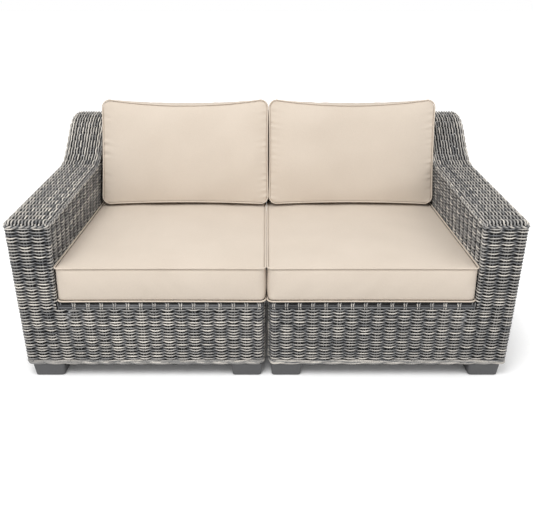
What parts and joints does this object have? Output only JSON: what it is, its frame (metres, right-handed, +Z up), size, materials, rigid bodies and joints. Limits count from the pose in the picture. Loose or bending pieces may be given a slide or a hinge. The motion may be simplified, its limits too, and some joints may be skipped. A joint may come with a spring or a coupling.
{
  "type": "patio loveseat",
  "caption": "Modular outdoor loveseat in round-strand wicker, with wide S-curved arms, a leaning back, loose boxed seat and back cushions and tapered block feet.",
  "frame": {"origin": "on the floor, midway between the modules and midway between the front plane and the rearmost line of the back", "axes": "+X to the viewer's right when facing the seat, +Y from front to back, +Z up"},
  "size_m": [1.754, 1.0249, 0.8763],
  "materials": {
    "wicker": "woven round strand in mixed greys",
    "frame_metal": "powder coated",
    "webbing": "ribbed elastic strap",
    "foot": "fine satin",
    "bolt": "zinc plated",
    "glide": "plain",
    "cushion_fabric": "plain weave",
    "filling": "foam and fibre",
    "zip": "woven tape with a plastic chain",
    "zip_metal": "satin"
  },
  "bodies": {
    "left_module": {"left_base_frame": "frame_metal", "left_arm_frame": "frame_metal", "left_back_frame": "frame_metal", "left_front_apron": "wicker", "left_rear_apron": "wicker", "left_outer_apron": "wicker", "left_inner_apron": "wicker", "left_arm_weave": "wicker", "left_back_weave": "wicker", "left_bottom_braid": "wicker", "left_deck_webbing": "webbing", "left_foot_front_outer": "foot", "left_foot_front_inner": "foot", "left_foot_rear_outer": "foot", "left_foot_rear_inner": "foot", "left_foot_bolts": "bolt"},
    "left_seat_cushion": {"left_seat_cover": "cushion_fabric", "left_seat_foam": "filling", "left_seat_piping": "cushion_fabric", "left_seat_zip": "zip"},
    "left_back_cushion": {"left_back_cover": "cushion_fabric", "left_back_fill": "filling", "left_back_piping": "cushion_fabric", "left_back_zip": "zip"},
    "left_seat_zip_slider": {"left_seat_zip_slider": "zip_metal"},
    "left_back_zip_slider": {"left_back_zip_slider": "zip_metal"},
    "left_glide_front_outer": {"left_glide_front_outer": "glide"},
    "left_glide_front_inner": {"left_glide_front_inner": "glide"},
    "left_glide_rear_outer": {"left_glide_rear_outer": "glide"},
    "left_glide_rear_inner": {"left_glide_rear_inner": "glide"},
    "right_module": {"right_base_frame": "frame_metal", "right_arm_frame": "frame_metal", "right_back_frame": "frame_metal", "right_front_apron": "wicker", "right_rear_apron": "wicker", "right_outer_apron": "wicker", "right_inner_apron": "wicker", "right_arm_weave": "wicker", "right_back_weave": "wicker", "right_bottom_braid": "wicker", "right_deck_webbing": "webbing", "right_foot_front_outer": "foot", "right_foot_front_inner": "foot", "right_foot_rear_outer": "foot", "right_foot_rear_inner": "foot", "right_foot_bolts": "bolt"},
    "right_seat_cushion": {"right_seat_cover": "cushion_fabric", "right_seat_foam": "filling", "right_seat_piping": "cushion_fabric", "right_seat_zip": "zip"},
    "right_back_cushion": {"right_back_cover": "cushion_fabric", "right_back_fill": "filling", "right_back_piping": "cushion_fabric", "right_back_zip": "zip"},
    "right_seat_zip_slider": {"right_seat_zip_slider": "zip_metal"},
    "right_back_zip_slider": {"right_back_zip_slider": "zip_metal"},
    "right_glide_front_outer": {"right_glide_front_outer": "glide"},
    "right_glide_front_inner": {"right_glide_front_inner": "glide"},
    "right_glide_rear_outer": {"right_glide_rear_outer": "glide"},
    "right_glide_rear_inner": {"right_glide_rear_inner": "glide"}
  },
  "joints": [
    {"name": "modules_apart", "type": "slide", "parent": "left_module", "child": "right_module", "axis": [1, 0, 0], "range_m": [0, 0.4]},
    {"name": "left_seat_cushion_out", "type": "slide", "parent": "left_module", "child": "left_seat_cushion", "axis": [0, -1, 0], "range_m": [0, 0.6]},
    {"name": "left_back_cushion_off", "type": "slide", "parent": "left_module", "child": "left_back_cushion", "axis": [0, 0.2588, 0.9659], "range_m": [0, 0.4]},
    {"name": "left_seat_zip_run", "type": "slide", "parent": "left_seat_cushion", "child": "left_seat_zip_slider", "axis": [1, 0, 0], "range_m": [0, 0.5]},
    {"name": "left_back_zip_run", "type": "slide", "parent": "left_back_cushion", "child": "left_back_zip_slider", "axis": [1, 0, 0], "range_m": [0, 0.5]},
    {"name": "left_glide_front_outer_height", "type": "slide", "parent": "left_module", "child": "left_glide_front_outer", "axis": [0, 0, -1], "range_m": [0, 0.01]},
    {"name": "left_glide_front_inner_height", "type": "slide", "parent": "left_module", "child": "left_glide_front_inner", "axis": [0, 0, -1], "range_m": [0, 0.01]},
    {"name": "left_glide_rear_outer_height", "type": "slide", "parent": "left_module", "child": "left_glide_rear_outer", "axis": [0, 0, -1], "range_m": [0, 0.01]},
    {"name": "left_glide_rear_inner_height", "type": "slide", "parent": "left_module", "child": "left_glide_rear_inner", "axis": [0, 0, -1], "range_m": [0, 0.01]},
    {"name": "right_seat_cushion_out", "type": "slide", "parent": "right_module", "child": "right_seat_cushion", "axis": [0, -1, 0], "range_m": [0, 0.6]},
    {"name": "right_back_cushion_off", "type": "slide", "parent": "right_module", "child": "right_back_cushion", "axis": [0, 0.2588, 0.9659], "range_m": [0, 0.4]},
    {"name": "right_seat_zip_run", "type": "slide", "parent": "right_seat_cushion", "child": "right_seat_zip_slider", "axis": [-1, 0, 0], "range_m": [0, 0.5]},
    {"name": "right_back_zip_run", "type": "slide", "parent": "right_back_cushion", "child": "right_back_zip_slider", "axis": [-1, 0, 0], "range_m": [0, 0.5]},
    {"name": "right_glide_front_outer_height", "type": "slide", "parent": "right_module", "child": "right_glide_front_outer", "axis": [0, 0, -1], "range_m": [0, 0.01]},
    {"name": "right_glide_front_inner_height", "type": "slide", "parent": "right_module", "child": "right_glide_front_inner", "axis": [0, 0, -1], "range_m": [0, 0.01]},
    {"name": "right_glide_rear_outer_height", "type": "slide", "parent": "right_module", "child": "right_glide_rear_outer", "axis": [0, 0, -1], "range_m": [0, 0.01]},
    {"name": "right_glide_rear_inner_height", "type": "slide", "parent": "right_module", "child": "right_glide_rear_inner", "axis": [0, 0, -1], "range_m": [0, 0.01]}
  ]
}
